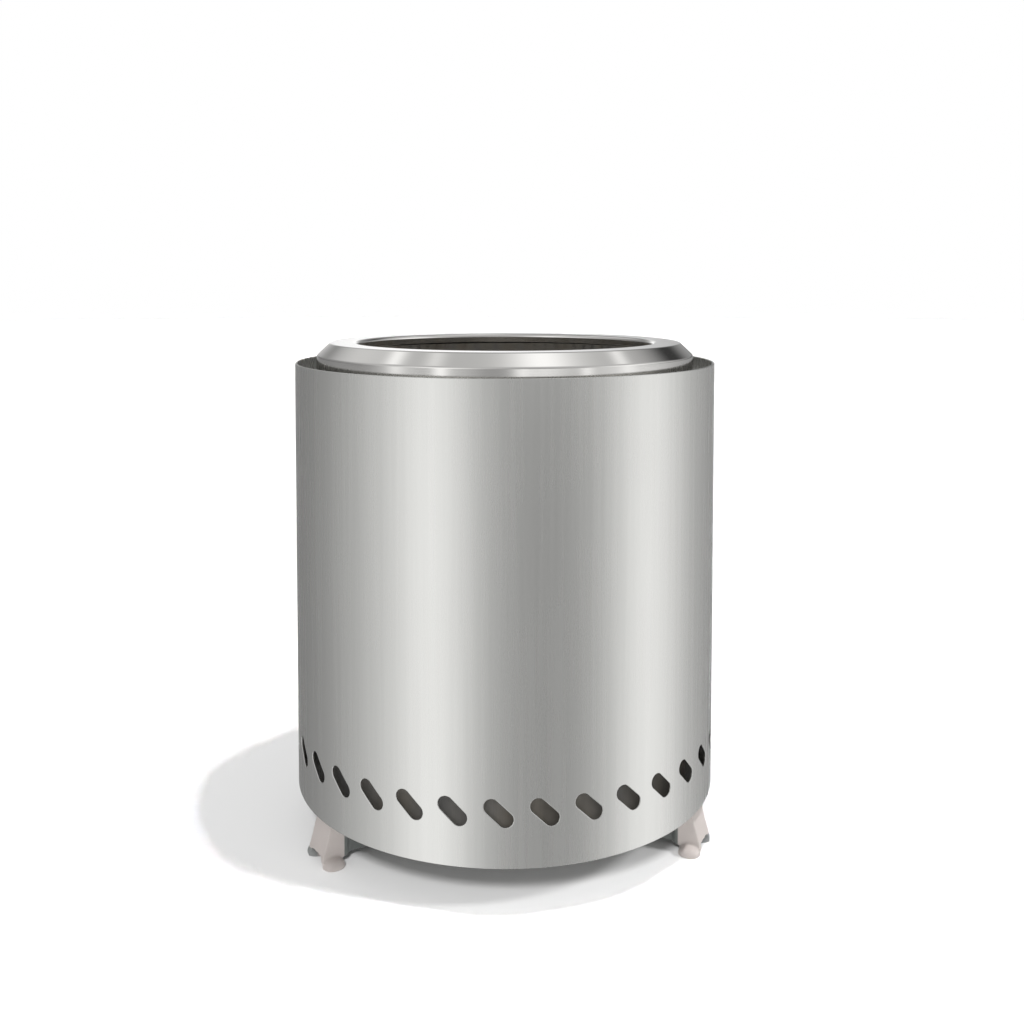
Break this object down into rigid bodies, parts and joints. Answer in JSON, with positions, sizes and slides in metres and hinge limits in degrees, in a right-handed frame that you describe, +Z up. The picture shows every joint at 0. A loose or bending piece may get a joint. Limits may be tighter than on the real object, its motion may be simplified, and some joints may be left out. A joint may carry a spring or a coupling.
{
  "type": "portable wood stove",
  "caption": "Tabletop double-walled wood stove: slotted steel drum around a burn chamber, lift-off fire ring, lift-out grate and ash pan, on a folding stand with claw feet.",
  "frame": {"origin": "on the ground, under the middle of the drum", "axes": "+Z up along the drum's axis; the front, halfway between the left and right feet, faces -Y; +X is the right side seen from the front"},
  "size_m": [0.1798, 0.1816, 0.2063],
  "materials": {
    "brushed_stainless": "satin, brushed up and down the drum",
    "spun_stainless": "bright, spun with fine rings around the axis",
    "chamber_stainless": "dull, straw and grey heat tint",
    "pressed_steel": "dull mill finish",
    "rivet_steel": "satin",
    "stand_coating": "satin pinkish beige coating on pressed steel"
  },
  "bodies": {
    "stove_body": {"outer_wall": "brushed_stainless", "inner_wall": "chamber_stainless", "air_flange": "pressed_steel", "base_plate": "pressed_steel", "heat_shield": "chamber_stainless", "grate_ledge": "chamber_stainless", "shield_standoff_1": "rivet_steel", "shield_standoff_2": "rivet_steel", "shield_standoff_3": "rivet_steel", "shield_rivet_1": "rivet_steel", "shield_rivet_2": "rivet_steel", "shield_rivet_3": "rivet_steel"},
    "fire_ring": {"fire_ring": "spun_stainless"},
    "ash_pan": {"ash_pan": "chamber_stainless"},
    "fire_grate": {"fire_grate": "chamber_stainless"},
    "stand": {"stand_arm_back": "stand_coating", "pivot_rivet": "rivet_steel", "pivot_washer_upper": "rivet_steel", "pivot_washer_lower": "rivet_steel"},
    "left_arm": {"stand_arm_left": "stand_coating"},
    "right_arm": {"stand_arm_right": "stand_coating"}
  },
  "joints": [
    {"name": "fire_ring_lift", "type": "slide", "parent": "stove_body", "child": "fire_ring", "axis": [0, 0, 1], "range_m": [0, 0.04]},
    {"name": "ash_pan_lift", "type": "slide", "parent": "stove_body", "child": "ash_pan", "axis": [0, 0, 1], "range_m": [0, 0.2]},
    {"name": "fire_grate_lift", "type": "slide", "parent": "ash_pan", "child": "fire_grate", "axis": [0, 0, 1], "range_m": [0, 0.16]},
    {"name": "stand_release", "type": "slide", "parent": "stove_body", "child": "stand", "axis": [0, 0, -1], "range_m": [0, 0.04]},
    {"name": "left_arm_fold", "type": "hinge", "parent": "stand", "child": "left_arm", "pos_m": [0, 0, 0.0144], "axis": [0, 0, -1], "range_deg": [0, 103]},
    {"name": "right_arm_fold", "type": "hinge", "parent": "stand", "child": "right_arm", "pos_m": [0, 0, 0.0144], "axis": [0, 0, 1], "range_deg": [0, 103]}
  ]
}
